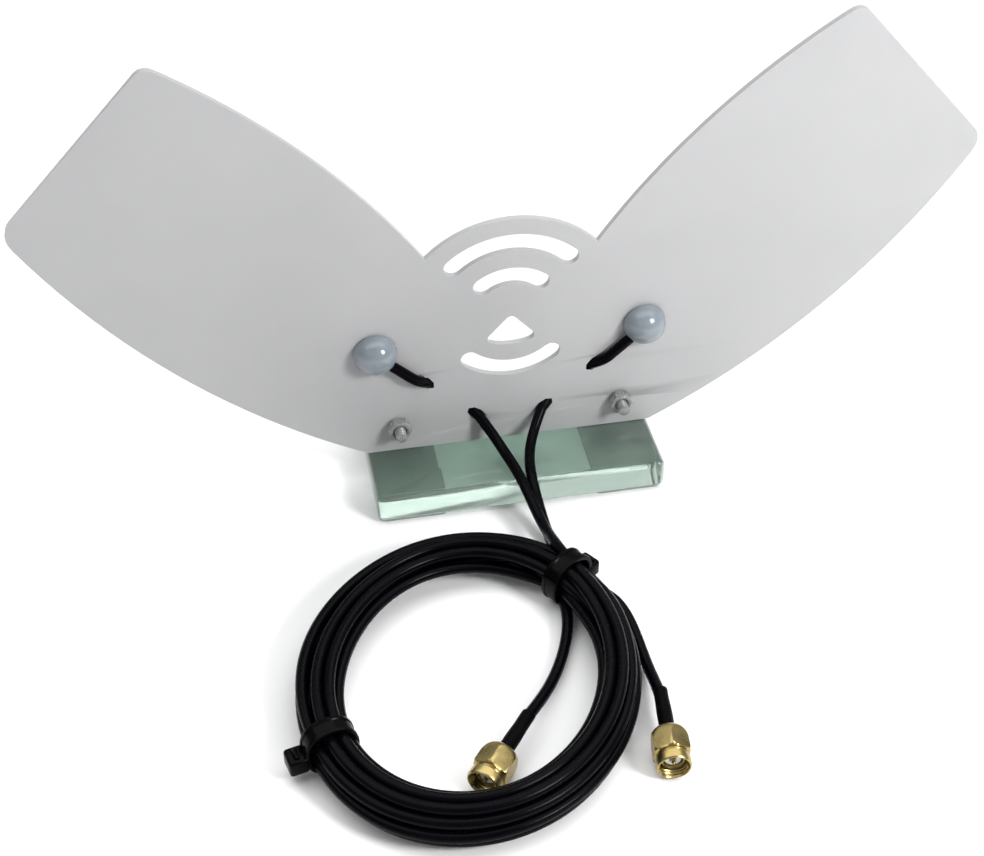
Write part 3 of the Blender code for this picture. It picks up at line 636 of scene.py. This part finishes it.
def from_cad(name, nodes, slot, width):
    """A copy of CAD nodes with small chamfers on its edges."""
    bm = bmesh.new()
    for node in nodes:
        bm.from_mesh(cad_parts[node].data)
    bmesh.ops.remove_doubles(bm, verts=bm.verts, dist=2e-6)
    bmesh.ops.dissolve_limit(bm, angle_limit=radians(1), verts=bm.verts, edges=bm.edges)
    mesh = bpy.data.meshes.new(name)
    bm.to_mesh(mesh)
    bm.free()
    return ready(bevelled(linked(name, mesh), width, 1), slot, nodes)


def make_plate():
    from_cad("twin_ear_plate", ["antenna_plate"], "white_board", 0.16)
    for side, _ in SIDES:
        from_cad(f"{side}_angle_bracket", [f"{side}_bracket"], "bracket_plastic", 0.35)


def hex_ring(flats, limit, height, turned=0.0):
    """A ring of a hexagon with flats above and below, turned by an angle, and its corners cut to a radius."""
    return lambda angle: (min(flats / 2 / cos((angle - turned) % (pi / 3) - pi / 6), limit), height)


def make_fasteners():
    head_seat = -(PLATE_HALF + GAP + BRACKET_WALL + GAP)
    back = head_seat - SCREW_HEAD_HEIGHT
    tip = SCREW_TIP
    for side, sign in SIDES:
        place = place_at((sign * SCREW_X, 0, SCREW_Z))
        rings = [(0, tip), (0.8, tip), (1.1, tip - 0.15),
                 *threaded(tip - 0.3, -1.2, SHANK_RADIUS, 0.25, SCREW_PITCH),
                 (1.4, head_seat), (2.85, head_seat), (2.95, head_seat - 0.15), (2.9, back + 1.1),
                 (2.6, back + 0.6), (2.1, back + 0.25), (1.2, back + 0.05), (0, back)]
        screw = lathe(f"{side}_nylon_screw", rings, place, 48)
        slot = box("slot", (7, 0.8, 0.9), (0, 0, back + 0.35), place)
        ready(boolean(screw, slot), "clear_nylon", [f"{side}_screw"])
        seat, face = PLATE_HALF + GAP, PLATE_HALF + GAP + NUT_THICKNESS
        rings = [(1.75, face - 0.3), (2.0, face), (2.6, face), hex_ring(SCREW_FLATS, 2.95, face - 0.2),
                 hex_ring(SCREW_FLATS, 3.175, face - 0.6), hex_ring(SCREW_FLATS, 3.175, seat + 0.4),
                 hex_ring(SCREW_FLATS, 2.9, seat + 0.1), (2.65, seat), (2.0, seat), (1.75, seat + 0.3)]
        nut = lathe(f"{side}_hex_nut", rings, place, 96)
        ready(nut, "clear_nylon", [f"{side}_nut"], angle=25)


def make_held_cables():
    rim = -PLATE_HALF - GAP
    inner = CAP_RADIUS - 0.9
    steps = [pi / 2 * i / 20 for i in range(21)]
    outside = [(CAP_RADIUS * sin(a), CAP_RADIUS * cos(a)) for a in steps]
    inside = [(inner * cos(a), inner * sin(a)) for a in steps]
    for side, sign in SIDES:
        place = place_at((sign * CAP_X, rim, CAP_Z))
        rings = [*outside[:-1], (CAP_RADIUS, 0.25), (CAP_RADIUS - 0.15, 0), *inside]
        cap = lathe(f"{side}_dome", rings, place, 80)
        doorway = [held_point(sign, along) for along in (2.5, 4, 6, 8)]
        cutter = bake(line_curve("doorway", doorway, CABLE_RADIUS + 0.12))
        ready(boolean(cap, cutter), "cap_plastic", [f"{side}_solder_cap"], angle=40)
        path = [held_point(sign, HELD_START + (HELD_END - HELD_START) * i / 60) for i in range(61)]
        ready(line_curve(f"{side}_fixed_cable", path, CABLE_RADIUS), "cable_jacket", [f"{side}_held_cable"])
        rings = [(0, 1.5)]
        for i in range(1, 9):
            tilt = pi / 2 * i / 8
            rings.append(lambda angle, tilt=tilt: (1.6 * sin(tilt) * (1 + 0.09 * sin(3 * angle + 2 * tilt)),
                                                   1.5 * cos(tilt) * (1 + 0.08 * cos(2 * angle))))
        rings.append((0, 0))
        ready(lathe(f"{side}_solder_blob", rings, place, 32), "solder", [f"{side}_solder_joint"], angle=60)


# ---------------------------------------------------------------- ties

TIE_WIDTH = 4.6
TIE_RIM = 0.3                       # rounding of the strap's edges
RIBS = 24
RIB_HEIGHT = 0.06
RIB_HALF_WIDTH = 1.2
SQUARENESS = 2.3                    # power of the strap's oval; 2 is an ellipse


def strap_section():
    """Half of the strap's section as (outwards, sideways), from the middle of its inside to its outside."""
    side = TIE_WIDTH / 2
    return [(0.0, 0.0), (0.0, side - TIE_RIM), (TIE_RIM * 0.4, side - TIE_RIM * 0.2), (TIE_RIM, side),
            (TIE_WALL - TIE_RIM, side), (TIE_WALL - TIE_RIM * 0.3, side - TIE_RIM * 0.3),
            (TIE_WALL, side - TIE_RIM), (TIE_WALL, side - 0.9), (TIE_WALL - 0.2, side - 1.15),
            (TIE_WALL - 0.2, 0.0)]


def make_ties():
    section = strap_section()
    section += [(out, -across) for out, across in reversed(section[1:-1])]
    for name, (angle, half_width, half_height, head_out) in TIES.items():
        centre, outward = ring_place(angle)
        along = outward.cross(Vector((0, 0, 1)))
        axes = Matrix((outward, (0, 0, 1), along)).transposed().to_4x4()
        centre += outward * bundle_size(angle)[3]
        centre.z = 0.1 + TIE_WALL + half_height
        place = Matrix.Translation(centre * MM) @ axes
        bm = bmesh.new()
        rows = []
        count = 96
        for i in range(count):
            turn = 2 * pi * i / count
            c, s = cos(turn), sin(turn)
            grow = (abs(c) ** SQUARENESS + abs(s) ** SQUARENESS) ** (-1 / SQUARENESS)
            rib = RIB_HEIGHT * sin(RIBS * turn)
            row = []
            for out, across in section:
                reach = out if out < TIE_WALL - 0.1 or abs(across) > RIB_HALF_WIDTH else out + rib
                x = (half_width + reach) * c * grow
                y = (half_height + reach) * s * grow
                row.append(bm.verts.new((x, y, across)))
            rows.append(row)
        for i in range(count):
            low, high = rows[i], rows[(i + 1) % count]
            for j in range(len(section)):
                k = (j + 1) % len(section)
                bm.faces.new((low[j], low[k], high[k], high[j]))
        strap = from_bmesh(f"{name}_strap", bm, place)
        middle = half_width + TIE_WALL + head_out / 2 - 0.4
        head = bevelled(box("head", (head_out + 0.8, 4.4, 5.2), (middle, -1.6, 0), place), 0.8, 3)
        window = box("window", (1.3, 3, 3.2), (middle + 0.2, 0.6, 0), place)
        head = boolean(head, window)
        stub = bevelled(box("stub", (0.9, 2.6, 2.9), (middle + 0.2, -0.1, 0), place), 0.2, 1)
        head = boolean(head, stub, "UNION")
        ready(boolean(strap, head, "UNION"), "tie_plastic", [name], angle=38)


# ---------------------------------------------------------------- plugs

NUT_FLATS = 8
NUT_LENGTH = 10
NUT_BACK_WALL = 2
THREAD_RADIUS = 3.3
THREAD_DEPTH = 0.25
THREAD_PITCH = 0.706


def make_coupling_nut(side, place):
    corner = NUT_FLATS / sqrt(3)
    turned = pi / 6
    dome = []
    for i in range(9):
        turn = pi / 2 * i / 8
        dome.append(hex_ring(NUT_FLATS, 2.95 + (corner - 2.95) * sin(turn), 3.4 * (1 - cos(turn)), turned))
    rings = [(2.5, 0.25), (2.7, 0), *dome, hex_ring(NUT_FLATS, corner, 6.1, turned),
             hex_ring(NUT_FLATS, 4.3, 6.55, turned), (3.92, 6.85), (3.5, 6.95), (3.42, 7.1), (3.42, 7.35),
             (3.5, 7.5), (3.85, 7.6), (3.95, 7.75), (3.95, 9.5), (3.85, 9.8), (3.65, NUT_LENGTH),
             (3.5, NUT_LENGTH), (3.36, 9.75),
             *threaded(9.6, NUT_BACK_WALL + 0.3, THREAD_RADIUS + THREAD_DEPTH, THREAD_DEPTH,
                       THREAD_PITCH),
             (THREAD_RADIUS, NUT_BACK_WALL), (2.6, NUT_BACK_WALL), (2.5, NUT_BACK_WALL - 0.15)]
    nut = lathe(f"{side}_threaded_nut", rings, place, 96)
    return ready(nut, "gold_plate", [f"{side}_coupling_nut"], f"{side}_nut_body", 28)


def make_plug(side):
    place = plug_place(side)
    floor, mouth = 4.6, 8.2
    rings = [(0, floor), (2.0, floor), (2.15, floor + 0.15), (2.15, mouth - 0.2), (2.25, mouth), (2.5, mouth),
             (2.6, mouth - 0.12), (2.6, 4.15), (2.75, 4.0), (2.85, 4.0), (2.9, 3.9), (2.9, 3.2), (2.8, 3.1),
             (2.2, 3.1), (2.2, 0.0), (2.1, -0.3), (0, -0.3)]
    body = ready(lathe(f"{side}_plug_shell", rings, place), "gold_plate", [f"{side}_plug_body"])
    disc_back, disc_front, bore = floor + 0.3, mouth - 0.5, 0.76
    rings = [(bore, disc_back), (bore, disc_front - 0.15), (bore + 0.15, disc_front), (1.72, disc_front),
             (1.85, disc_front - 0.12), (1.85, disc_back)]
    disc = ready(lathe(f"{side}_dielectric", rings, place), "insulator", [f"{side}_insulator"])
    rings = [(0, 9.1), (0.12, 9.08), (0.24, 8.98), (0.4, 8.65), (0.46, 8.4), (0.46, disc_back), (0, disc_back)]
    pin = ready(lathe(f"{side}_contact_pin", rings, place, 40), "gold_plate", [f"{side}_centre_pin"])

    def shrunk(radius, height):
        return lambda angle: (radius + 0.035 * sin(2 * angle + 0.9 * height) + 0.02 * sin(5 * angle), height)

    back = -0.6 - SLEEVE_LENGTH
    steps = [shrunk(1.84 - 0.018 * i, -0.75 + (back + 0.9) * i / 12) for i in range(13)]
    rings = [(CABLE_RADIUS + 0.04, -0.6), (1.75, -0.6), *steps, (CABLE_RADIUS + 0.12, back),
             (CABLE_RADIUS + 0.04, back)]
    sleeve = ready(lathe(f"{side}_shrink_tube", rings, place, 48), "shrink_sleeve", [f"{side}_sleeve"])
    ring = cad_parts[f"{side}_lock_ring"]
    ring.material_slots[0].material = bpy.data.materials["spring_metal" + LOOK]
    nut = make_coupling_nut(side, place)
    return [body, disc, pin, sleeve, nut, ring]



# ---------------------------------------------------------------- light and floor

def area_light(name, place, target, size, power):
    data = bpy.data.lights.new(name, "AREA")
    data.shape = "RECTANGLE"
    data.size, data.size_y = size
    data.energy = power
    light = linked(name, data)
    light.location = place
    direction = Vector(target) - Vector(place)
    light.rotation_euler = direction.to_track_quat("-Z", "Y").to_euler()


def make_stage():
    bm = bmesh.new()
    bmesh.ops.create_grid(bm, x_segments=1, y_segments=1, size=4000)
    floor = from_bmesh("floor", bm)
    nodes = Nodes("pale_floor", Roughness=0.7)
    tone = nodes.ramp(nodes.noise(3, 2), 0, 1, 0.3, 0.7)
    nodes.feed("Base Color", nodes.blend(tone, grey(0.94), grey(0.955)))
    floor.data.materials.append(nodes.material)
    world = bpy.data.worlds.new("studio")
    world.use_nodes = True
    world.node_tree.nodes["Background"].inputs["Color"].default_value = (0.97, 0.985, 1.0, 1)
    world.node_tree.nodes["Background"].inputs["Strength"].default_value = 0.30
    bpy.context.scene.world = world
    bpy.context.scene.view_settings.view_transform = "Standard"
    area_light("top", (0.0, 0.32, 1.2), (0, 0.15, 0), (2.6, 1.6), 26)
    area_light("key", (0.32, -0.38, 0.36), (0, 0, 0.05), (0.15, 0.15), 2.8)
    area_light("fill", (-0.6, -0.7, 0.6), (0, -0.05, 0.03), (0.6, 0.4), 0.2)


make_camera()
make_materials()
make_cords({side: make_plug(side) for side, _ in SIDES})
make_base()
make_plate()
make_fasteners()
make_held_cables()
make_ties()
for name in ("left_radiator", "right_radiator"):
    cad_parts[name].material_slots[0].material = bpy.data.materials["foil" + LOOK]
make_stage()
